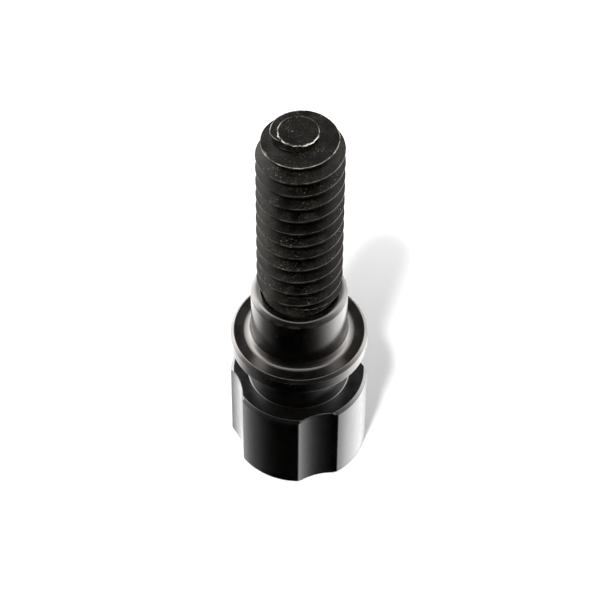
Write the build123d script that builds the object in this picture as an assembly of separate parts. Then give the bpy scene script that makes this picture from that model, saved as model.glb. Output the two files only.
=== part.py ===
"""Captive clamp screw of a quick-change tool post, in millimetres.

The screw stands on the end face of its fluted head.  The Z axis is the screw's axis and the
origin is the centre of the head's end face, so the threaded end and its dog point face +Z.
"""
from build123d import *
import math
import os

# Head: a turned knob with four concave finger flutes and a hex socket in its end face
head_radius = 5.18
head_height = 7.56
head_top_chamfer = 0.23
head_end_chamfer = 0.16
flute_count = 4
flute_turn = 17.4                # degrees from +X to the first flute
flute_width_angle = 35.0         # degrees of the head's rim that one flute takes
flute_depth = 0.53
socket_across_flats = 4.7625     # 3/16 inch hex key
socket_depth = 2.6
socket_cone_depth = 0.7
socket_lead_in = 0.25

# Neck: turned in one with the head; it sets the gap between the head and the flange
neck_radius = 3.78
neck_length = 3.46
neck_root_fillet = 0.10
neck_edge_break = 0.06

# Flanged sleeve: turns freely on the spindle's journal
flange_radius = 5.10
flange_thickness = 1.27
flange_top_chamfer = 0.27
flange_under_chamfer = 0.10
boss_radius = 3.56
boss_length = 4.66
boss_chamfer = 0.30
boss_root_fillet = 0.60
sleeve_bore_chamfer = 0.12
end_play = 0.05                  # gap at each end face of the sleeve
running_clearance = 0.03         # radial gap between the journal and the sleeve's bore

# Spindle: tail in the head, journal in the sleeve, thread, dog point
tail_radius = 2.45
tail_end_gap = 0.10              # air below the tail in the head's blind bore
tail_depth = 3.16                # how far the tail reaches into the head
tail_chamfer = 0.25
journal_radius = 2.72
thread_pitch = 1.27              # 20 threads to the inch
thread_radius = 3.12             # a 1/4 inch thread with worn crests
thread_crest_width = 0.10
thread_root_radius = 2.36
thread_half_angle = 30.0         # degrees
thread_cutter_overshoot = 0.08
thread_phase_height = 29.73      # height of one crest on the -X side
relief_length = 0.62
relief_radius = 2.30
lead_nose_length = 1.30          # where the crests bend in towards the end face
end_face_radius = 2.65
end_face_height = 32.72
dog_radius = 1.42
dog_length = 0.48
dog_edge_break = 0.05

# Lock pin: blind, pressed in through the flute that faces the back
pin_radius = 0.60
pin_height = 5.90
pin_inner_reach = 1.10           # distance from the axis to the pin's inner end
pin_outer_reach = 4.58           # just below the floor of the flute
pin_flute = 1                    # which flute, counted from the first one
pin_end_break = 0.08

# Heights that follow from the sizes above
neck_top = head_height + neck_length
flange_under = neck_top + end_play
flange_top = flange_under + flange_thickness
boss_top = flange_top + boss_length
journal_top = boss_top + end_play
tail_end = head_height - tail_depth
relief_top = journal_top + relief_length
sleeve_bore_radius = journal_radius + running_clearance
flute_step = 360.0 / flute_count


def disc(radius, bottom, top):
    """An upright cylinder on the Z axis between two heights."""
    height = top - bottom
    return Pos(0, 0, bottom) * Cylinder(radius, height, align=(Align.CENTER, Align.CENTER, Align.MIN))


def turned(outline):
    """A solid of revolution about Z, from the (radius, height) corners of half its section."""
    return revolve(make_face(Plane.XZ * Polyline(*outline, close=True)), Axis.Z)


def rim(solid, height, radius):
    """The circular edge of a solid at this height whose radius is nearest to the one given."""
    edges = solid.edges().filter_by(GeomType.CIRCLE).filter_by_position(Axis.Z, height, height)
    return min(edges, key=lambda edge: abs(edge.radius - radius))


def flute_cutter():
    """One upright cutting cylinder, on the +X side, that leaves a flute of the stated width."""
    half_angle = math.radians(flute_width_angle / 2)
    half_chord = head_radius * math.sin(half_angle)
    floor_radius = head_radius - flute_depth
    inset = head_radius * math.cos(half_angle) - floor_radius
    cutter_radius = (inset ** 2 + half_chord ** 2) / (2 * inset)
    return Pos(floor_radius + cutter_radius, 0, 0) * disc(cutter_radius, -1, head_height + 1)


def head_blank():
    """The head before its flutes and holes are cut: a chamfered knob with the neck on it."""
    blank = disc(head_radius, 0, head_height) + disc(neck_radius, 0, neck_top)
    blank = fillet(rim(blank, head_height, neck_radius), neck_root_fillet)
    blank = chamfer(rim(blank, head_height, head_radius), head_top_chamfer)
    blank = chamfer(rim(blank, 0, head_radius), head_end_chamfer)
    return chamfer(rim(blank, neck_top, neck_radius), neck_edge_break)


def make_head():
    """The fluted head: turned blank, flutes, blind bore for the tail, hex socket, pin hole."""
    head = head_blank()
    for number in range(flute_count):
        head -= Rot(Z=flute_turn + number * flute_step) * flute_cutter()
    head -= disc(tail_radius, tail_end - tail_end_gap, neck_top)
    return head - socket_cutter() - pin_blank()


def socket_cutter():
    """The hex socket with the cone that its pilot drill leaves and a lead-in at its mouth."""
    hexagon = RegularPolygon(socket_across_flats / 2, 6, major_radius=False)
    hole = extrude(hexagon, socket_depth)
    flat_radius = socket_across_flats / 2
    corner_radius = flat_radius / math.cos(math.radians(30))
    cone_tip = socket_depth + socket_cone_depth
    hole += turned([(0, socket_depth), (flat_radius, socket_depth), (0, cone_tip)])
    mouth = [(0, 0), (corner_radius, 0), (corner_radius - socket_lead_in, socket_lead_in)]
    return hole + turned(mouth + [(0, socket_lead_in)])


def pin_blank():
    """The lock pin's full cylinder, lying along the middle of its flute."""
    length = pin_outer_reach - pin_inner_reach
    lying = Rot(Y=90) * Cylinder(pin_radius, length, align=(Align.CENTER, Align.CENTER, Align.MIN))
    return Rot(Z=flute_turn + pin_flute * flute_step) * Pos(pin_inner_reach, 0, pin_height) * lying


def make_pin():
    """The lock pin with both ends broken."""
    pin = pin_blank()
    return chamfer(pin.edges().filter_by(GeomType.CIRCLE), pin_end_break)


def make_sleeve():
    """The flanged sleeve: thin flange below, boss above, through bore."""
    sleeve = disc(flange_radius, flange_under, flange_top) + disc(boss_radius, flange_under, boss_top)
    sleeve = fillet(rim(sleeve, flange_top, boss_radius), boss_root_fillet)
    sleeve = chamfer(rim(sleeve, flange_top, flange_radius), flange_top_chamfer)
    sleeve = chamfer(rim(sleeve, flange_under, flange_radius), flange_under_chamfer)
    sleeve = chamfer(rim(sleeve, boss_top, boss_radius), boss_chamfer)
    sleeve -= disc(sleeve_bore_radius, flange_under, boss_top)
    for height in (flange_under, boss_top):
        sleeve = chamfer(rim(sleeve, height, sleeve_bore_radius), sleeve_bore_chamfer)
    return sleeve


def shaft():
    """The spindle's plain lower part: tail and journal."""
    return turned([
        (0, tail_end),
        (tail_radius - tail_chamfer, tail_end),
        (tail_radius, tail_end + tail_chamfer),
        (tail_radius, neck_top),
        (journal_radius, neck_top),
        (journal_radius, journal_top),
        (0, journal_top),
    ])


def threaded_end_blank():
    """The turned shape of the threaded end: relief, thread, rounded nose, end face, dog point."""
    dog_top = end_face_height + dog_length
    nose_start = end_face_height - lead_nose_length
    nose = TangentArc((thread_radius, nose_start), (end_face_radius, end_face_height), tangent=(0, 1))
    up = Polyline(
        (0, journal_top),
        (relief_radius, journal_top),
        (relief_radius, relief_top),
        (thread_radius, relief_top),
        (thread_radius, nose_start),
    )
    back = Polyline(
        (end_face_radius, end_face_height),
        (dog_radius, end_face_height),
        (dog_radius, dog_top - dog_edge_break),
        (dog_radius - dog_edge_break, dog_top),
        (0, dog_top),
        (0, journal_top),
    )
    return revolve(Plane.XZ * make_face([*up.edges(), nose, *back.edges()]), Axis.Z)


def thread_cutter():
    """The helical groove of the right-hand 60 degree thread, from the relief to past the end."""
    outer = thread_radius + thread_cutter_overshoot
    slope = math.tan(math.radians(thread_half_angle))
    half_outer = (thread_pitch - thread_crest_width) / 2 + thread_cutter_overshoot * slope
    half_root = half_outer - (outer - thread_root_radius) * slope
    first = journal_top + half_outer
    last = end_face_height + thread_pitch / 2
    # The groove lies half a pitch from the crest, and a full turn climbs one pitch.
    start_turn = (first - thread_phase_height) / thread_pitch * 360.0
    path = Pos(0, 0, first) * Helix(thread_pitch, last - first, thread_root_radius)
    corners = [
        (thread_root_radius, first - half_root),
        (outer, first - half_outer),
        (outer, first + half_outer),
        (thread_root_radius, first + half_root),
    ]
    section = make_face(Plane.XZ * Polyline(*corners, close=True))
    return Rot(Z=start_turn) * sweep(section, path=path, is_frenet=True)


def make_spindle():
    """The spindle: a long threaded rod turned down to the end's shape, on the plain shaft."""
    rod = disc(thread_radius, journal_top, end_face_height + 2 * thread_pitch) - thread_cutter()
    return shaft() + (rod & threaded_end_blank()) - pin_blank()


def write_parts():
    """Writes each piece to its own STEP file."""
    os.makedirs("parts", exist_ok=True)
    pieces = {
        "fluted_head": make_head(),
        "threaded_spindle": make_spindle(),
        "lock_pin": make_pin(),
        "flanged_sleeve": make_sleeve(),
    }
    for name, piece in pieces.items():
        export_step(piece, f"parts/{name}.step")


write_parts()
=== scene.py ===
"""Captive clamp screw of a quick-change tool post, standing on its fluted head.

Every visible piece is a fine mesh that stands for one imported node: turned pieces are lathed
from rounded outlines, the thread is a grid that climbs with its helix, and the head is a stack
of fluted rings.  Outlines are in millimetres, and every mesh is written in metres.
"""
import math

import bmesh
import bpy
import numpy as np
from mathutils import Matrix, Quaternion, Vector


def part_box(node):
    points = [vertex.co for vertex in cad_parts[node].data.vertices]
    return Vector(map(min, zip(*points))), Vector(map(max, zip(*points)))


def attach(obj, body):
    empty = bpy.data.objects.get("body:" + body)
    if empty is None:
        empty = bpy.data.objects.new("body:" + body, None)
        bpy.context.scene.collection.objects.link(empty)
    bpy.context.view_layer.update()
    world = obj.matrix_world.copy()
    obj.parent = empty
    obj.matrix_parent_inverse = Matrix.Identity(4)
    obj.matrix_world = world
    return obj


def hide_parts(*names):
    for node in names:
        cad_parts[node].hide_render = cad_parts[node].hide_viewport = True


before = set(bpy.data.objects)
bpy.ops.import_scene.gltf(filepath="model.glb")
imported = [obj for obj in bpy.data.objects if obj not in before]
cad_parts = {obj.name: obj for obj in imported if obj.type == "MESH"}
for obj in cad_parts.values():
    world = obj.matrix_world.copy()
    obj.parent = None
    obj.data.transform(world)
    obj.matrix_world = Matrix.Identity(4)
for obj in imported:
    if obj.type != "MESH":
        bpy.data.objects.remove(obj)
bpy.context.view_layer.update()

MM = 0.001


def node_box(node):
    """Lowest and highest corner of a node, in millimetres."""
    low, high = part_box(node)
    return [value / MM for value in low], [value / MM for value in high]


_, HEAD_HIGH = node_box("fluted_head")
SLEEVE_LOW, SLEEVE_HIGH = node_box("flanged_sleeve")
SPINDLE_LOW, SPINDLE_HIGH = node_box("threaded_spindle")

AROUND = 480                     # points round a turned piece
HEAD_AROUND = 1440               # points round the head, whose flutes need more
PIN_AROUND = 64
ON_AXIS = 1e-4                   # radius of a ring so small that its points merge into one

# Head
HEAD_RADIUS = HEAD_HIGH[0]
NECK_LENGTH = 3.46
NECK_TOP = HEAD_HIGH[2]
HEAD_TOP = NECK_TOP - NECK_LENGTH
NECK_RADIUS = 3.78
NECK_ROOT_FILLET = 0.10
NECK_EDGE_BREAK = 0.06
HEAD_TOP_CHAMFER = 0.23
HEAD_END_CHAMFER = 0.16
FLUTES = 4
FLUTE_TURN = math.radians(17.4)
FLUTE_HALF_ANGLE = math.radians(17.5)
FLUTE_DEPTH = 0.53
FLUTE_EDGE_BREAK = 0.03          # how far a flute's top and bottom edges are broken
FLUTE_BLEND = 0.05               # how far a flute's long edges are blended into the wall
BEYOND_FLUTES = 99.0             # a radius that stands for no flute
SOCKET_FLAT = 4.7625 / 2         # half of a 3/16 inch hexagon's width across flats
SOCKET_DEPTH = 2.6
SOCKET_CONE = 0.7
BORE_GAP = 0.10                  # from the blind bore's end to the spindle's tail

# Sleeve
FLANGE_THICKNESS = 1.27
FLANGE_UNDER = SLEEVE_LOW[2]
FLANGE_TOP = FLANGE_UNDER + FLANGE_THICKNESS
FLANGE_RADIUS = SLEEVE_HIGH[0]
FLANGE_CHAMFER = 0.22
FLANGE_UNDER_CHAMFER = 0.10
BOSS_TOP = SLEEVE_HIGH[2]
BOSS_RADIUS = 3.56
BOSS_ROOT_FILLET = 0.60
BOSS_CORNER = (0.30, 0.32)       # how far in and down the boss's outer corner is broken
BOSS_CROWN = 0.06                # how far the boss's end falls away to that corner
BORE_RADIUS = 2.75
BORE_CHAMFER = 0.10
BORE_LOWER_CHAMFER = 0.12

# Spindle
THREAD_RADIUS = SPINDLE_HIGH[0]
THREAD_PITCH = 1.27
CREST_HALF_WIDTH = 0.05
ROOT_RADIUS = 2.36
JOURNAL_RADIUS = 2.72
JOURNAL_TOP = BOSS_TOP + 0.05    # the sleeve's end gap
RELIEF_RADIUS = 2.30
RELIEF_TOP = JOURNAL_TOP + 0.62
SHOULDER_LENGTH = 0.35           # the cone from the journal up to the relief
TAIL_RADIUS = 2.45
TAIL_CHAMFER = 0.25
CREST_HEIGHT = 29.73             # one crest's height on the -X side
DOG_TOP = SPINDLE_HIGH[2]
DOG_RADIUS = 1.42

# The thread's last turns, which spiral in to the dog point: the turn in degrees along the
# helix from where it last faces +X, then a radius and a height in millimetres.
LAST_CREST = [
    (-540, 3.12, 31.00), (-360, 3.10, 31.63), (-270, 2.96, 31.95), (-180, 2.74, 32.27),
    (-90, 2.80, 32.53), (0, 2.68, 32.80), (49, 2.40, 32.92), (94, 2.27, 32.98),
    (144, 2.19, 33.02), (180, 2.06, 33.06), (206, 1.67, 33.11), (228, 1.42, 33.13),
]
LAST_ROOT = [
    (-540, 2.36, 31.64), (-360, 2.30, 32.15), (-180, 1.95, 32.45), (-145, 1.66, 32.55),
    (-98, 1.48, 32.62), (-60, 1.43, 32.72), (-30, 1.44, 32.87), (0, 1.44, 33.03),
    (50, 1.44, 33.11), (180, 1.44, 33.13), (230, 1.42, 33.13),
]
LAST_TURN_NUMBER = 2             # the turn, counted from CREST_HEIGHT's, that ends at 0 degrees

# Dents in the last turns' edge: turn and width in degrees, and depth.
FIRST_DENT = (-153, 6, 0.10)
SECOND_DENT = (264, 4, 0.05)

DOG_SHIFT = (-0.15, 0.08)        # how far the burred dog point sits off the axis
DOG_SHIFT_INSIDE = 1.6           # radius within which the shift is whole ...
DOG_SHIFT_OUTSIDE = 2.3          # ... and beyond which there is none
DOG_GUARD = 0.012                # space between the rings that keep the dog point's face flat
BURR_REACH = 0.09                # how far the mushroomed side of the dog point's rim stands out
BURR_ANGLE = math.radians(-105)  # the middle of that side
BURR_THICKNESS = 0.035
BURR_EDGE = (0.10, 0.02)         # width of its broken edge where it stands out, and elsewhere

# Lock pin
PIN_RADIUS = 0.60
PIN_HEIGHT = 5.90
PIN_INNER = 1.10
PIN_OUTER = 4.58
PIN_BEVEL = 0.08

# Rubbed edges with a painted edge highlight, and meshing
MERGE_GAP = 2e-7                 # metres; points closer than this become one
SHARP_ANGLE = math.radians(38)   # faces that meet at more than this aren't shaded as one
WEAR_AND_HIGHLIGHT_START = 3.0                 # curvature, per millimetre, where rubbing and painted highlight start
WEAR_AND_HIGHLIGHT_FULL = 14.0
WEAR_AND_HIGHLIGHT_SPREAD = 0.7                # share of an edge's rubbing and painted highlight that the points beside it get ...
SPREAD_ABOVE = 32.98             # ... above this height
WEAR_AND_HIGHLIGHT_REACH = 0.03                # millimetres; a kink over less than this counts as if over this
TIP_WEAR_AND_HIGHLIGHT_START = 31.2            # heights between which the edges get rubbed and painted as bright as the tip's
TIP_WEAR_AND_HIGHLIGHT_FULL = 32.3

# Colours
BRIGHT_SPECK = (0.19, 0.17, 0.15)
# The colour of rubbed edges, which also paints a bright highlight along them.
BARE_STEEL_AND_HIGHLIGHT = (0.74, 0.71, 0.66)
NEUTRAL_SHEEN = (1.0, 1.0, 1.0)
WARM_SHEEN = (1.0, 0.94, 0.89)

# Studio
LOW_SURROUNDINGS = [             # azimuth in degrees and radiance of what the walls reflect
    (-180, 0.45), (-166, 0.25), (-150, 0.05), (-134, 0.0), (-80, 0.0), (-60, 0.08),
    (-45, 0.30), (-30, 1.0), (-15, 2.1), (5, 3.8), (30, 3.7), (45, 3.4),
    (62, 1.7), (88, 1.2), (120, 2.6), (150, 2.2), (172, 0.7), (180, 0.45),
]
HIGH_SURROUNDINGS = [            # the same for what slopes, fillets and chamfers reflect
    (-180, 2.4), (-166, 1.2), (-150, 0.2), (-120, 0.0), (-60, 0.1), (-37, 0.5),
    (-14, 2.0), (5, 6.0), (22, 9.0), (42, 5.0), (64, 2.4), (80, 0.05), (101, 0.05),
    (113, 4.2), (127, 7.0), (140, 8.0), (155, 11.5), (170, 8.0), (180, 2.4),
]
BRIGHTEST = 12.0                 # the radiance that counts as white in the tables' colour ramps
LOW_TO_HIGH = (-0.50, -0.10)     # sines of the elevation between which the low table gives way
HIGH_TO_CEILING = (0.82, 0.98)   # ... and between which the high table fades out
CEILING_FADE = (0.45, 0.75)      # ... and between which the ceiling comes in
CEILING_RADIANCE = 0.07
KEY_POWER = 7.8
TOP_POWER = 0.12
BACK_FILL_POWER = 0.117
BACK_FILL_PLACE = Vector((12, 52, 42))
SCREW_MIDDLE = Vector((0, 0, 15))
FLOOR_HALF_WIDTH = 1.5           # metres
BACKDROP_RADIUS = 1.4            # metres


# --- meshes ---------------------------------------------------------------------------------

def make_object(name, points, faces):
    """A smooth-shaded mesh object from points in millimetres."""
    mesh = bpy.data.meshes.new(name)
    mesh.from_pydata([tuple(point) for point in np.asarray(points) * MM], [], faces)
    mesh.validate()
    mesh.polygons.foreach_set("use_smooth", [True] * len(mesh.polygons))
    mesh.update()
    obj = bpy.data.objects.new(name, mesh)
    bpy.context.scene.collection.objects.link(obj)
    return obj


def tidy_mesh(obj):
    """Merges coincident points, drops collapsed faces and turns every normal outwards."""
    bm = bmesh.new()
    bm.from_mesh(obj.data)
    bmesh.ops.remove_doubles(bm, verts=bm.verts, dist=MERGE_GAP)
    bmesh.ops.dissolve_degenerate(bm, dist=MERGE_GAP, edges=bm.edges)
    bmesh.ops.recalc_face_normals(bm, faces=bm.faces)
    bm.to_mesh(obj.data)
    bm.free()
    obj.data.set_sharp_from_angle(angle=SHARP_ANGLE)


def mark_wear_and_highlight(obj):
    """Stores how sharply each point stands out, from 0 on flats to 1 on broken edges."""
    mesh = obj.data
    count = len(mesh.vertices)
    points = np.empty(count * 3)
    normals = np.empty(count * 3)
    ends = np.empty(len(mesh.edges) * 2, dtype=np.int64)
    mesh.vertices.foreach_get("co", points)
    mesh.vertex_normals.foreach_get("vector", normals)
    mesh.edges.foreach_get("vertices", ends)
    points = points.reshape(-1, 3) / MM
    normals = normals.reshape(-1, 3)
    ends = ends.reshape(-1, 2)
    # A point stands out by how far a neighbour falls below the plane across its normal.
    here, there = np.concatenate([ends, ends[:, ::-1]]).T
    bend = np.zeros(count)
    step = points[there] - points[here]
    reach = np.maximum(np.sum(step * step, 1), WEAR_AND_HIGHLIGHT_REACH ** 2)
    np.maximum.at(bend, here, -2 * np.sum(step * normals[here], 1) / reach)
    wear_and_highlight = np.clip((bend - WEAR_AND_HIGHLIGHT_START) / (WEAR_AND_HIGHLIGHT_FULL - WEAR_AND_HIGHLIGHT_START), 0, 1)
    spread = wear_and_highlight.copy()
    np.maximum.at(spread, here, wear_and_highlight[there] * WEAR_AND_HIGHLIGHT_SPREAD)
    wear_and_highlight = np.where(points[:, 2] > SPREAD_ABOVE, spread, wear_and_highlight)
    # This mask brightens the edges as rubbed steel and as a painted highlight.
    layer = mesh.attributes.new("wear_and_highlight", "FLOAT", "POINT")
    layer.data.foreach_set("value", wear_and_highlight)


def angles(count):
    """Evenly spaced angles for one full turn."""
    return np.arange(count) * (2 * math.pi / count)


def ring_points(section, turn):
    """A ring of points for each (radius, height), either of which may vary round the ring."""
    return [np.stack([radius * np.cos(turn), radius * np.sin(turn),
                      np.broadcast_to(height, turn.shape)], 1) for radius, height in section]


def ring_quads(first, second, count):
    """Quads between two rings of points that start at these indices."""
    return [(first + i, first + (i + 1) % count, second + (i + 1) % count, second + i)
            for i in range(count)]


def rounded(outline, closed):
    """An outline of (radius, height, rounding) corners, as points with curves at its corners.

    Each curve has a point just before and just after it, which keeps the flats beside it flat.
    """
    steps = 4
    longest_guard = 0.03
    points = []
    total = len(outline)
    for index, (radius, height, size) in enumerate(outline):
        here = np.array([radius, height])
        at_end = not closed and index in (0, total - 1)
        if size == 0 or at_end:
            points.append(here)
            continue
        before = np.array(outline[index - 1][:2]) - here
        after = np.array(outline[(index + 1) % total][:2]) - here
        before_unit = before / np.linalg.norm(before)
        after_unit = after / np.linalg.norm(after)
        start = here + before_unit * size
        end = here + after_unit * size
        guard = min(size * 0.6, longest_guard)
        if np.linalg.norm(before) > 2.5 * size:
            points.append(start + before_unit * guard)
        for step in range(steps + 1):
            t = step / steps
            points.append((1 - t) ** 2 * start + 2 * t * (1 - t) * here + t ** 2 * end)
        if np.linalg.norm(after) > 2.5 * size:
            points.append(end + after_unit * guard)
    return np.array(points)


def lathe(name, outline, closed=True, count=AROUND, shape=None):
    """A turned piece round the Z axis, unless shape(points) moves its points elsewhere."""
    section = rounded(outline, closed)
    rows = len(section)
    points = np.concatenate(ring_points(section, angles(count)))
    if shape:
        points = shape(points)
    faces = []
    for row in range(rows if closed else rows - 1):
        faces += ring_quads(row * count, (row + 1) % rows * count, count)
    obj = make_object(name, points, faces)
    tidy_mesh(obj)
    return obj


def root_fillet(wall, floor, size, steps):
    """The inside corner between a wall's radius and a floor's height, from top to bottom."""
    arc = []
    for step in range(steps + 1):
        angle = math.pi / 2 * step / steps
        arc.append((wall + size * (1 - math.cos(angle)), floor + size * (1 - math.sin(angle)), 0))
    return arc


def make_sleeve():
    """The flanged sleeve with its root fillet, its slightly crowned end and its broken edges."""
    inward, down = BOSS_CORNER
    outline = [
        (BORE_RADIUS, FLANGE_UNDER + BORE_LOWER_CHAMFER, 0.02),
        (BORE_RADIUS, BOSS_TOP - BORE_CHAMFER, 0.02),
        (BORE_RADIUS + BORE_CHAMFER, BOSS_TOP, 0.025),
        (BOSS_RADIUS - inward, BOSS_TOP - BOSS_CROWN, 0.12),
        (BOSS_RADIUS, BOSS_TOP - down, 0.12),
        *root_fillet(BOSS_RADIUS, FLANGE_TOP, BOSS_ROOT_FILLET, 8),
        (FLANGE_RADIUS - FLANGE_CHAMFER, FLANGE_TOP, 0.04),
        (FLANGE_RADIUS, FLANGE_TOP - FLANGE_CHAMFER, 0.04),
        (FLANGE_RADIUS, FLANGE_UNDER + FLANGE_UNDER_CHAMFER, 0.03),
        (FLANGE_RADIUS - FLANGE_UNDER_CHAMFER, FLANGE_UNDER, 0.03),
        (BORE_RADIUS + BORE_LOWER_CHAMFER, FLANGE_UNDER, 0.02),
    ]
    return lathe("flanged_sleeve_turned", outline)


# --- thread ---------------------------------------------------------------------------------

def valley(height, turn):
    """The thread form's radius at a height and angle, for a right-hand 60 degree thread."""
    climb = CREST_HEIGHT + THREAD_PITCH * (turn - math.pi) / (2 * math.pi)
    offset = (height - climb) / THREAD_PITCH
    from_crest = np.abs(offset - np.round(offset)) * THREAD_PITCH
    drop = np.maximum(from_crest - CREST_HALF_WIDTH, 0) / math.tan(math.radians(30))
    return np.maximum(THREAD_RADIUS - drop, ROOT_RADIUS)


def along_helix(table, degrees):
    """Radius and height from a table of the last turns, at turns along the helix."""
    table = np.array(table)
    before = np.minimum(degrees - table[0, 0], 0) * THREAD_PITCH / 360
    return (np.interp(degrees, table[:, 0], table[:, 1]),
            np.interp(degrees, table[:, 0], table[:, 2]) + before)


def dent(degrees, centre, width, depth):
    """Depth of a dent in the thread's edge, at a turn along the helix."""
    return depth * np.exp(-((degrees - centre) / width) ** 2)


def last_turn(offset, degrees):
    """Radius and height at an offset above the crest, along the thread's last turns."""
    crest_radius, crest_height = along_helix(LAST_CREST, degrees)
    root_radius, root_height = along_helix(LAST_ROOT, degrees)
    next_radius, next_height = along_helix(LAST_CREST, degrees + 360)
    crest_radius = crest_radius - dent(degrees, *FIRST_DENT) - dent(degrees, *SECOND_DENT)
    next_radius = next_radius - dent(degrees + 360, *SECOND_DENT)
    depth = (THREAD_RADIUS - ROOT_RADIUS) * math.tan(math.radians(30))
    half = THREAD_PITCH / 2
    if offset <= half:
        down = min(max(offset - CREST_HALF_WIDTH, 0) / depth, 1)
        share = offset / half
        return (crest_radius + (root_radius - crest_radius) * down,
                crest_height + (root_height - crest_height) * share)
    down = min(max(THREAD_PITCH - offset - CREST_HALF_WIDTH, 0) / depth, 1)
    share = offset / half - 1
    return (next_radius + (root_radius - next_radius) * down,
            root_height + (next_height - root_height) * share)


def thread_rows():
    """Offsets from a crest through one pitch, closest together at the crest and the root."""
    flank = (THREAD_RADIUS - ROOT_RADIUS) * math.tan(math.radians(30))
    crest = CREST_HALF_WIDTH
    root = crest + flank
    half = [0, crest * 0.7, crest, crest * 1.4]
    half += list(np.linspace(crest * 2.2, root * 0.9, 7))
    half += [root * 0.97, root, root * 1.04]
    other = [THREAD_PITCH - value for value in reversed(half[1:])]
    return np.array(half + [THREAD_PITCH / 2] + other)


def shift_dog(points):
    """Moves the dog point and the end face round it a little off the axis."""
    radius = np.hypot(points[:, 0], points[:, 1])
    share = np.clip((DOG_SHIFT_OUTSIDE - radius) / (DOG_SHIFT_OUTSIDE - DOG_SHIFT_INSIDE), 0, 1)
    share = np.where(points[:, 2] > LAST_ROOT[0][2], share * share * (3 - 2 * share), 0)
    moved = points.copy()
    moved[:, 0] += DOG_SHIFT[0] * share
    moved[:, 1] += DOG_SHIFT[1] * share
    return moved


def dog_rim(turn):
    """Rings round the dog point's rim: ragged and mushroomed on one side, broken on the other."""
    side = np.clip(0.5 + np.cos(turn - BURR_ANGLE), 0, 1)
    # Waves of two lengths make the rim ragged.
    ragged = 0.55 + 0.25 * np.sin(13 * turn) + 0.20 * np.sin(31 * turn + 1)
    reach = DOG_RADIUS + BURR_REACH * side * ragged
    broken = BURR_EDGE[0] + (BURR_EDGE[1] - BURR_EDGE[0]) * (1 - side)
    rings = []
    for bend in np.radians((0, 30, 60, 90)):
        rings.append((reach - broken * (1 - math.cos(bend)),
                      DOG_TOP - BURR_THICKNESS * (1 - math.sin(bend))))
    for guard in (1, 2):
        rings.append((reach - broken - guard * DOG_GUARD, DOG_TOP))
    return rings + [(DOG_RADIUS * 0.6, DOG_TOP), (ON_AXIS, DOG_TOP)]


def thread_grid(turn, one_pitch):
    """Rows of points that climb with the thread, from inside the relief up to the dog point."""
    first = math.floor((RELIEF_TOP - CREST_HEIGHT) / THREAD_PITCH) - 2
    rows = []
    for number in range(first, LAST_TURN_NUMBER + 2):
        degrees = np.degrees(turn) - 360 + 360 * (number - LAST_TURN_NUMBER)
        at_end = degrees > LAST_CREST[0][0] - 360
        for offset in one_pitch:
            height = CREST_HEIGHT + THREAD_PITCH * (number + turn / (2 * math.pi) - 0.5) + offset
            height = np.maximum(height, RELIEF_TOP)
            end_radius, end_height = last_turn(offset, degrees)
            radius = np.where(at_end, end_radius, valley(height, turn))
            height = np.where(at_end, end_height, height)
            rows += ring_points([(radius, height)], turn)
    return rows


def climbing_quads(total, per_pitch):
    """Quads between the grid's rows, which join at the seam to the rows one pitch up."""
    faces = []
    for row in range(total - 1):
        for column in range(AROUND - 1):
            a = row * AROUND + column
            faces.append((a, a + 1, a + 1 + AROUND, a + AROUND))
    for row in range(total - 1):
        a = row * AROUND + AROUND - 1
        low = min(row + per_pitch, total - 1) * AROUND
        high = min(row + 1 + per_pitch, total - 1) * AROUND
        faces.append((a, low, high, a + AROUND))
    return faces


def make_spindle():
    """The spindle: lathed tail, journal and dog point round a grid that climbs with the thread."""
    turn = angles(AROUND)
    one_pitch = thread_rows()
    rings = thread_grid(turn, one_pitch)
    top_row = len(rings) - 1
    faces = climbing_quads(len(rings), len(one_pitch))
    below = rounded([
        (RELIEF_RADIUS, RELIEF_TOP, 0),
        (RELIEF_RADIUS, JOURNAL_TOP + SHOULDER_LENGTH, 0.08),
        (JOURNAL_RADIUS, JOURNAL_TOP, 0.04),
        (JOURNAL_RADIUS, NECK_TOP, 0.04),
        (TAIL_RADIUS, NECK_TOP, 0.03),
        (TAIL_RADIUS, SPINDLE_LOW[2] + TAIL_CHAMFER, 0.04),
        (TAIL_RADIUS - TAIL_CHAMFER, SPINDLE_LOW[2], 0.04),
        (ON_AXIS, SPINDLE_LOW[2], 0),
    ], closed=False)
    for section, start in ((below, 0), (dog_rim(turn), top_row)):
        previous = start
        for ring in ring_points(section, turn):
            faces += ring_quads(previous * AROUND, len(rings) * AROUND, AROUND)
            previous = len(rings)
            rings.append(ring)
    obj = make_object("threaded_spindle_cut", shift_dog(np.concatenate(rings)), faces)
    tidy_mesh(obj)
    return obj


# --- head -----------------------------------------------------------------------------------

def flute_radius(turn):
    """Distance from the axis to the flute's surface at an angle, or far away between flutes."""
    half_chord = HEAD_RADIUS * math.sin(FLUTE_HALF_ANGLE)
    floor = HEAD_RADIUS - FLUTE_DEPTH
    inset = HEAD_RADIUS * math.cos(FLUTE_HALF_ANGLE) - floor
    cutter = (inset ** 2 + half_chord ** 2) / (2 * inset)
    centre = floor + cutter
    step = 2 * math.pi / FLUTES
    away = (turn - FLUTE_TURN + step / 2) % step - step / 2
    under = cutter ** 2 - (centre * np.sin(away)) ** 2
    return np.where(under > 0, centre * np.cos(away) - np.sqrt(np.maximum(under, 0)),
                    BEYOND_FLUTES)


def soft_min(a, b, width):
    """The smaller of two values, blended where they are within width of each other."""
    blend = np.clip(0.5 + 0.5 * (b - a) / width, 0, 1)
    return b + (a - b) * blend - width * blend * (1 - blend)


def hexagon_radius(turn):
    """Distance from the axis to the socket's walls at an angle, corners on the X axis."""
    sector = math.pi / 3
    return SOCKET_FLAT / np.cos(turn % sector - sector / 2)


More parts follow.
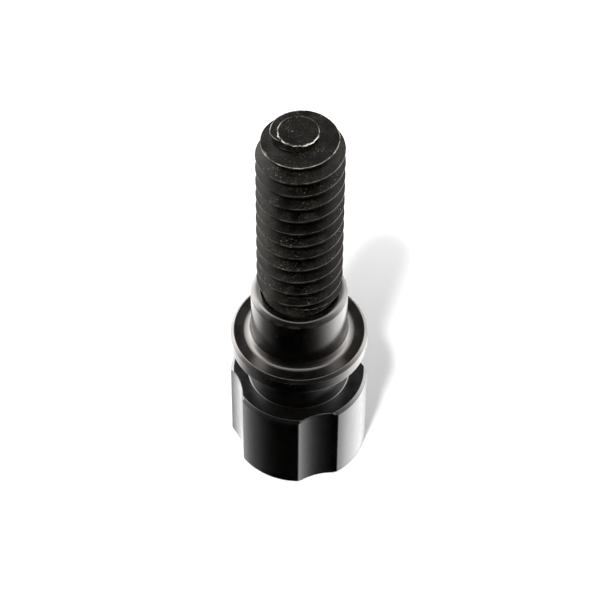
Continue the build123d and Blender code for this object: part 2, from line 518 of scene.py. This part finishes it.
def socket_rings(turn):
    """The hex socket, from the cone at its end out to its chamfered mouth."""
    wall = hexagon_radius(turn)
    corner = SOCKET_FLAT / math.cos(math.pi / 6)
    # Rings close together keep the surfaces on both sides of an edge flat.
    return [
        (ON_AXIS, SOCKET_DEPTH + SOCKET_CONE),
        (SOCKET_FLAT * 0.98, SOCKET_DEPTH + SOCKET_CONE * 0.02),
        (SOCKET_FLAT * 0.999, SOCKET_DEPTH),
        (wall - 0.02, SOCKET_DEPTH),
        (wall, SOCKET_DEPTH - 0.02),
        (wall, SOCKET_DEPTH - 0.06),
        (wall, corner - wall + 0.05),
        (wall, corner - wall + 0.02),
        (wall + 0.02, np.maximum(corner - wall, 0.0)),
        (corner + 0.02, 0),
        (corner + 0.06, 0),
    ]


def side_rings(turn):
    """The head's wall and chamfers with the flutes cut into them, from the end face up."""
    flute = flute_radius(turn)
    end_edge = HEAD_RADIUS - HEAD_END_CHAMFER
    top_edge = HEAD_RADIUS - HEAD_TOP_CHAMFER
    # Rings close to an edge keep the surfaces on both sides of it flat, here and further down.
    side = rounded([
        (end_edge - 0.05, 0, 0),
        (end_edge, 0, 0.03),
        (end_edge + 0.04, 0.04, 0),
        (HEAD_RADIUS, HEAD_END_CHAMFER, 0.03),
        (HEAD_RADIUS, HEAD_TOP - HEAD_TOP_CHAMFER, 0.03),
        (top_edge + 0.04, HEAD_TOP - 0.04, 0),
        (top_edge, HEAD_TOP, 0.03),
        (top_edge - 0.05, HEAD_TOP, 0),
    ], closed=False)
    rings = []
    for radius, height in side:
        near = min(height, HEAD_TOP - height)
        broken = FLUTE_EDGE_BREAK * max(0.0, 1 - near / FLUTE_EDGE_BREAK) ** 2
        rings.append((soft_min(radius, flute - broken, FLUTE_BLEND), height))
    wall = soft_min(HEAD_RADIUS, flute, FLUTE_BLEND)
    middle = len(rings) // 2
    plain = np.linspace(0.6, HEAD_TOP - 0.6, 12)
    rings[middle:middle] = [(wall, height) for height in plain]
    end_guards = [(rings[0][0] - inset, 0.0) for inset in (0.07, 0.03)]
    top_guards = [(rings[-1][0] - inset, HEAD_TOP) for inset in (0.03, 0.07)]
    return end_guards + rings + top_guards


def neck_rings():
    """The head's top face, the neck's root fillet and wall, and the blind bore down inside."""
    bore_end = SPINDLE_LOW[2] - BORE_GAP
    return rounded([
        (NECK_RADIUS + NECK_ROOT_FILLET + 0.05, HEAD_TOP, 0),
        *reversed(root_fillet(NECK_RADIUS, HEAD_TOP, NECK_ROOT_FILLET, 5)),
        (NECK_RADIUS, NECK_TOP, NECK_EDGE_BREAK),
        (TAIL_RADIUS, NECK_TOP, 0.03),
        (TAIL_RADIUS, bore_end, 0.05),
        (ON_AXIS, bore_end, 0),
    ], closed=False)


def make_head():
    """The fluted head with its hex socket below, its neck above and its blind bore in that."""
    turn = angles(HEAD_AROUND)
    rings = ring_points([*socket_rings(turn), *side_rings(turn), *neck_rings()], turn)
    faces = []
    for row in range(len(rings) - 1):
        faces += ring_quads(row * HEAD_AROUND, (row + 1) * HEAD_AROUND, HEAD_AROUND)
    obj = make_object("fluted_head_cut", np.concatenate(rings), faces)
    tidy_mesh(obj)
    return obj


def make_pin():
    """The lock pin, lying along the middle of the flute that faces the back."""
    outline = [
        (ON_AXIS, PIN_INNER, 0),
        (PIN_RADIUS - PIN_BEVEL, PIN_INNER, 0.02),
        (PIN_RADIUS, PIN_INNER + PIN_BEVEL, 0.02),
        (PIN_RADIUS, PIN_OUTER - PIN_BEVEL, 0.02),
        (PIN_RADIUS - PIN_BEVEL, PIN_OUTER, 0.02),
        (ON_AXIS, PIN_OUTER, 0),
    ]
    direction = FLUTE_TURN + math.pi / 2

    def lay_down(points):
        out = points[:, 2]
        across = points[:, 0]
        x = out * math.cos(direction) - across * math.sin(direction)
        y = out * math.sin(direction) + across * math.cos(direction)
        return np.stack([x, y, PIN_HEIGHT + points[:, 1]], 1)

    return lathe("lock_pin_pressed", outline, closed=False, count=PIN_AROUND, shape=lay_down)


# --- materials ------------------------------------------------------------------------------

class Shading:
    """A material's node tree, with short calls for the nodes that these metals share."""

    def __init__(self, name):
        self.material = bpy.data.materials.new(name)
        self.material.use_nodes = True
        self.nodes = self.material.node_tree.nodes
        self.links = self.material.node_tree.links
        self.shader = self.nodes["Principled BSDF"]
        self.place = self.nodes.new("ShaderNodeTexCoord").outputs["Object"]

    def noise(self, scale, detail, vector=None):
        """Noise whose features are about 1 / scale metres wide."""
        node = self.nodes.new("ShaderNodeTexNoise")
        node.inputs["Scale"].default_value = scale
        node.inputs["Detail"].default_value = detail
        self.links.new(vector or self.place, node.inputs["Vector"])
        return node.outputs["Fac"]

    def stored(self, name):
        """A number stored on the mesh's points."""
        node = self.nodes.new("ShaderNodeAttribute")
        node.attribute_name = name
        return node.outputs["Fac"]

    def height(self):
        """Height above the floor, in metres."""
        split = self.nodes.new("ShaderNodeSeparateXYZ")
        self.links.new(self.place, split.inputs[0])
        return split.outputs["Z"]

    def turned(self):
        """Radius and height as a vector, so that noise on it runs round the turned surface."""
        flat = self.nodes.new("ShaderNodeVectorMath")
        flat.operation = "MULTIPLY"
        flat.inputs[1].default_value = (1, 1, 0)
        self.links.new(self.place, flat.inputs[0])
        length = self.nodes.new("ShaderNodeVectorMath")
        length.operation = "LENGTH"
        self.links.new(flat.outputs[0], length.inputs[0])
        join = self.nodes.new("ShaderNodeCombineXYZ")
        self.links.new(length.outputs["Value"], join.inputs["X"])
        self.links.new(self.height(), join.inputs["Z"])
        return join.outputs[0]

    def ranged(self, value, low, high, out_low, out_high):
        """A value moved from the range low to high to another range, and held at its ends."""
        node = self.nodes.new("ShaderNodeMapRange")
        node.inputs["From Min"].default_value = low
        node.inputs["From Max"].default_value = high
        node.inputs["To Min"].default_value = out_low
        node.inputs["To Max"].default_value = out_high
        self.links.new(value, node.inputs["Value"])
        return node.outputs["Result"]

    def math(self, operation, a, b):
        """A sum or product, held from 0 to 1, of a value and a second value or number."""
        node = self.nodes.new("ShaderNodeMath")
        node.operation = operation
        node.use_clamp = True
        self.links.new(a, node.inputs[0])
        if isinstance(b, float):
            node.inputs[1].default_value = b
        else:
            self.links.new(b, node.inputs[1])
        return node.outputs[0]

    def mix(self, factor, a, b):
        """Blends two colours, each a node's output or a colour."""
        node = self.nodes.new("ShaderNodeMix")
        node.data_type = "RGBA"
        self.links.new(factor, node.inputs["Factor"])
        for socket, colour in (("A", a), ("B", b)):
            if isinstance(colour, tuple):
                node.inputs[socket].default_value = (*colour, 1)
            else:
                self.links.new(colour, node.inputs[socket])
        return node.outputs["Result"]

    def set(self, socket, value):
        """Links a value to one of the shader's sockets."""
        self.links.new(value, self.shader.inputs[socket])

    def bump(self, heights):
        """Adds up bumps of (height, distance in metres)."""
        normal = None
        for height, distance in heights:
            node = self.nodes.new("ShaderNodeBump")
            node.inputs["Strength"].default_value = 1.0
            node.inputs["Distance"].default_value = distance
            self.links.new(height, node.inputs["Height"])
            if normal:
                self.links.new(normal, node.inputs["Normal"])
            normal = node.outputs["Normal"]
        self.set("Normal", normal)


def steel(name, base, tint, roughness, rub_and_highlight, specks=0.0, marks=5e-7, ior=1.6,
          sheen=NEUTRAL_SHEEN):
    """Finished steel: mottled from base to tint, with turning marks, and with rubbed edges that
    also carry a painted highlight.

    rub_and_highlight is how far the edges below the tip are rubbed to bare steel and painted
    bright, specks is how much of the surface bright specks take up, marks is the height in metres
    of the grain and the turning marks, and sheen tints what the metal reflects.
    """
    look = Shading(name)
    look.shader.inputs["IOR"].default_value = ior
    look.shader.inputs["Specular Tint"].default_value = (*sheen, 1)

    # Mottling about a millimetre across, darkened by a fine dry grain.
    patches = look.ranged(look.noise(scale=900, detail=7), 0.40, 0.66, 0.0, 1.0)
    grain = look.noise(scale=7500, detail=3)
    darkened = look.ranged(grain, 0.40, 0.62, 0.0, 0.9)
    colour = look.mix(darkened, look.mix(patches, base, tint), (0.0, 0.0, 0.0))

    # Specks about a tenth of a millimetre across, in clusters.
    clusters = look.ranged(look.noise(scale=700, detail=3), 0.48, 0.66, 0.0, 1.0)
    dots = look.ranged(look.noise(scale=9000, detail=2), 0.72 - specks, 0.78 - specks, 0.0, 1.0)
    colour = look.mix(look.math("MULTIPLY", clusters, dots), colour, BRIGHT_SPECK)

    # Edges rubbed in patches, and most of all at the tip; the near-white rub also paints a
    # highlight on them.
    edge = look.stored("wear_and_highlight")
    patchy = look.ranged(look.noise(scale=1500, detail=5), 0.38, 0.58, 0.12, 1.0)
    by_height = look.ranged(look.height(), TIP_WEAR_AND_HIGHLIGHT_START * MM, TIP_WEAR_AND_HIGHLIGHT_FULL * MM, rub_and_highlight, 1.0)
    worn_and_highlit = look.math("MULTIPLY", look.math("MULTIPLY", edge, patchy), by_height)
    look.set("Base Color", look.mix(worn_and_highlit, colour, BARE_STEEL_AND_HIGHLIGHT))
    look.set("Metallic", look.math("MULTIPLY", worn_and_highlit, 0.25))

    rings = look.noise(scale=9000, detail=2, vector=look.turned())
    smears = look.noise(scale=1500, detail=4)
    look.set("Roughness", look.ranged(smears, 0.3, 0.7, roughness - 0.03, roughness + 0.04))
    look.bump([(grain, marks), (rings, marks), (dots, 6e-5 * specks)])
    return look.material


def finish_piece(piece, material, body, node):
    """Gives a piece its material and body, and hides the imported node that it stands for."""
    mark_wear_and_highlight(piece)
    piece.data.materials.append(material)
    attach(piece, body)
    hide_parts(node)


# --- stage ----------------------------------------------------------------------------------

def make_floor():
    """A wide plain pale floor."""
    half = FLOOR_HALF_WIDTH
    mesh = bpy.data.meshes.new("floor")
    corners = [(-half, -half, 0), (half, -half, 0), (half, half, 0), (-half, half, 0)]
    mesh.from_pydata(corners, [], [(0, 1, 2, 3)])
    floor = bpy.data.objects.new("floor", mesh)
    bpy.context.scene.collection.objects.link(floor)
    material = bpy.data.materials.new("floor_white")
    material.use_nodes = True
    shader = material.node_tree.nodes["Principled BSDF"]
    shader.inputs["Base Color"].default_value = (0.92, 0.92, 0.92, 1)
    shader.inputs["Roughness"].default_value = 0.8
    mesh.materials.append(material)
    # The metal reflects what make_world gives it instead, as it would on a small light table.
    floor.visible_glossy = False
    floor.visible_shadow = False


def make_backdrop():
    """A plain pale backdrop that only the camera sees, for views that look past the floor."""
    bpy.ops.mesh.primitive_uv_sphere_add(segments=48, ring_count=24, radius=BACKDROP_RADIUS)
    backdrop = bpy.context.object
    backdrop.name = "backdrop"
    material = bpy.data.materials.new("backdrop_white")
    material.use_nodes = True
    shader = material.node_tree.nodes["Principled BSDF"]
    shader.inputs["Base Color"].default_value = (0, 0, 0, 1)
    shader.inputs["Emission Color"].default_value = (1, 1, 1, 1)
    shader.inputs["Emission Strength"].default_value = 1.0
    backdrop.data.materials.append(material)
    backdrop.visible_diffuse = False
    backdrop.visible_glossy = False
    backdrop.visible_shadow = False


def area_light(name, azimuth, elevation, distance, size, power, reflected):
    """A soft round light aimed at the middle of the screw; degrees and millimetres.

    The metal reflects it, or else it lights the floor and the metal's own colour.
    """
    data = bpy.data.lights.new(name, "AREA")
    data.shape = "DISK"
    data.size = size * MM
    data.energy = power
    light = bpy.data.objects.new(name, data)
    turn = math.radians(azimuth)
    rise = math.radians(elevation)
    away = Vector((math.cos(turn) * math.cos(rise), math.sin(turn) * math.cos(rise),
                   math.sin(rise)))
    light.location = (SCREW_MIDDLE + away * distance) * MM
    light.rotation_euler = (-away).to_track_quat("-Z", "Y").to_euler()
    light.visible_glossy = reflected
    light.visible_diffuse = not reflected
    bpy.context.scene.collection.objects.link(light)


def back_fill():
    """A small light behind the screw that fades the far end of the key light's shadow."""
    data = bpy.data.lights.new("back_fill", "POINT")
    data.energy = BACK_FILL_POWER
    data.shadow_soft_size = 5 * MM
    data.use_shadow = False
    light = bpy.data.objects.new("back_fill", data)
    light.location = BACK_FILL_PLACE * MM
    light.visible_glossy = False
    bpy.context.scene.collection.objects.link(light)


def make_world():
    """What the metal reflects, by azimuth and elevation: bright at the sides, dark in front."""
    world = bpy.data.worlds.new("studio")
    bpy.context.scene.world = world
    world.use_nodes = True
    world.cycles_visibility.diffuse = False
    nodes = world.node_tree.nodes
    links = world.node_tree.links
    split = nodes.new("ShaderNodeSeparateXYZ")
    links.new(nodes.new("ShaderNodeTexCoord").outputs["Generated"], split.inputs[0])
    rise = split.outputs["Z"]

    azimuth = nodes.new("ShaderNodeMath")
    azimuth.operation = "ARCTAN2"
    links.new(split.outputs["Y"], azimuth.inputs[0])
    links.new(split.outputs["X"], azimuth.inputs[1])
    along = nodes.new("ShaderNodeMapRange")
    along.inputs["From Min"].default_value = -math.pi
    along.inputs["From Max"].default_value = math.pi
    links.new(azimuth.outputs[0], along.inputs["Value"])

    def by_azimuth(table):
        """Radiance, as a share of the brightest, from a table by azimuth."""
        ramp = nodes.new("ShaderNodeValToRGB")
        stops = ramp.color_ramp.elements
        stops.remove(stops[1])
        for number, (degrees, radiance) in enumerate(table):
            position = (degrees + 180) / 360
            stop = stops.new(position) if number else stops[0]
            stop.position = position
            stop.color = (*[radiance / BRIGHTEST] * 3, 1)
        links.new(along.outputs["Result"], ramp.inputs["Fac"])
        return ramp.outputs["Color"]

    def fade(span, low, high):
        """A smooth change from low to high over a span of the elevation's sine."""
        node = nodes.new("ShaderNodeMapRange")
        node.interpolation_type = "SMOOTHSTEP"
        node.inputs["From Min"].default_value = span[0]
        node.inputs["From Max"].default_value = span[1]
        node.inputs["To Min"].default_value = low
        node.inputs["To Max"].default_value = high
        links.new(rise, node.inputs["Value"])
        return node.outputs["Result"]

    def combine(operation, a, b):
        """A sum or product of two values."""
        node = nodes.new("ShaderNodeMath")
        node.operation = operation
        links.new(a, node.inputs[0])
        links.new(b, node.inputs[1])
        return node.outputs[0]

    low = combine("MULTIPLY", by_azimuth(LOW_SURROUNDINGS), fade(LOW_TO_HIGH, BRIGHTEST, 0))
    high = combine("MULTIPLY", by_azimuth(HIGH_SURROUNDINGS), fade(LOW_TO_HIGH, 0, BRIGHTEST))
    high = combine("MULTIPLY", high, fade(HIGH_TO_CEILING, 1, 0))
    ceiling = fade(CEILING_FADE, 0, CEILING_RADIANCE)
    background = nodes["Background"]
    background.inputs["Color"].default_value = (1, 1, 1, 1)
    total = combine("ADD", combine("ADD", low, high), ceiling)
    links.new(total, background.inputs["Strength"])


def make_light():
    """The surroundings, a key light from the front left, a soft back fill and a top box."""
    make_world()
    area_light("key_light", azimuth=-111, elevation=58, distance=900, size=95,
               power=KEY_POWER, reflected=False)
    area_light("top_box", azimuth=90, elevation=88, distance=150, size=115,
               power=TOP_POWER, reflected=True)
    back_fill()


def make_camera():
    """The camera, looking along +Y and down at the screw."""
    focal_pixels = 2268.0
    image_pixels = 590
    distance = 165.9
    elevation = math.radians(49.61)
    look_at = Vector((-0.3185, 0, 16.21))
    roll = math.radians(0.33)
    data = bpy.data.cameras.new("camera")
    data.sensor_width = 36.0
    data.sensor_fit = "HORIZONTAL"
    data.lens = data.sensor_width * focal_pixels / image_pixels
    data.clip_start = 0.001
    camera = bpy.data.objects.new("camera", data)
    back = Vector((0, -math.cos(elevation), math.sin(elevation)))
    camera.location = (look_at + back * distance) * MM
    camera.rotation_mode = "QUATERNION"
    aim = (-back).to_track_quat("-Z", "Y")
    camera.rotation_quaternion = aim @ Quaternion((0, 0, 1), roll)
    bpy.context.scene.collection.objects.link(camera)
    bpy.context.scene.camera = camera


head_material = steel(
    "head_black_oxide", base=(0.0012, 0.0011, 0.0010), tint=(0.0040, 0.0036, 0.0030),
    roughness=0.23, rub_and_highlight=0.25, marks=1.2e-6)
sleeve_material = steel(
    "sleeve_black_oxide", base=(0.0012, 0.0011, 0.0010), tint=(0.0034, 0.0030, 0.0027),
    roughness=0.18, rub_and_highlight=0.25, sheen=WARM_SHEEN)
spindle_material = steel(
    "spindle_black_oxide", base=(0.0016, 0.0015, 0.0013), tint=(0.0210, 0.0190, 0.0150),
    roughness=0.41, rub_and_highlight=0.16, specks=0.09, marks=5.0e-6, ior=1.16, sheen=WARM_SHEEN)
pin_material = steel(
    "pin_steel", base=(0.14, 0.135, 0.13), tint=(0.20, 0.19, 0.18), roughness=0.35, rub_and_highlight=0.25)

finish_piece(make_head(), head_material, "screw", "fluted_head")
finish_piece(make_spindle(), spindle_material, "screw", "threaded_spindle")
finish_piece(make_pin(), pin_material, "screw", "lock_pin")
finish_piece(make_sleeve(), sleeve_material, "sleeve", "flanged_sleeve")

make_floor()
make_backdrop()
make_light()
make_camera()
bpy.context.scene.view_settings.view_transform = "Standard"

bpy.context.view_layer.update()
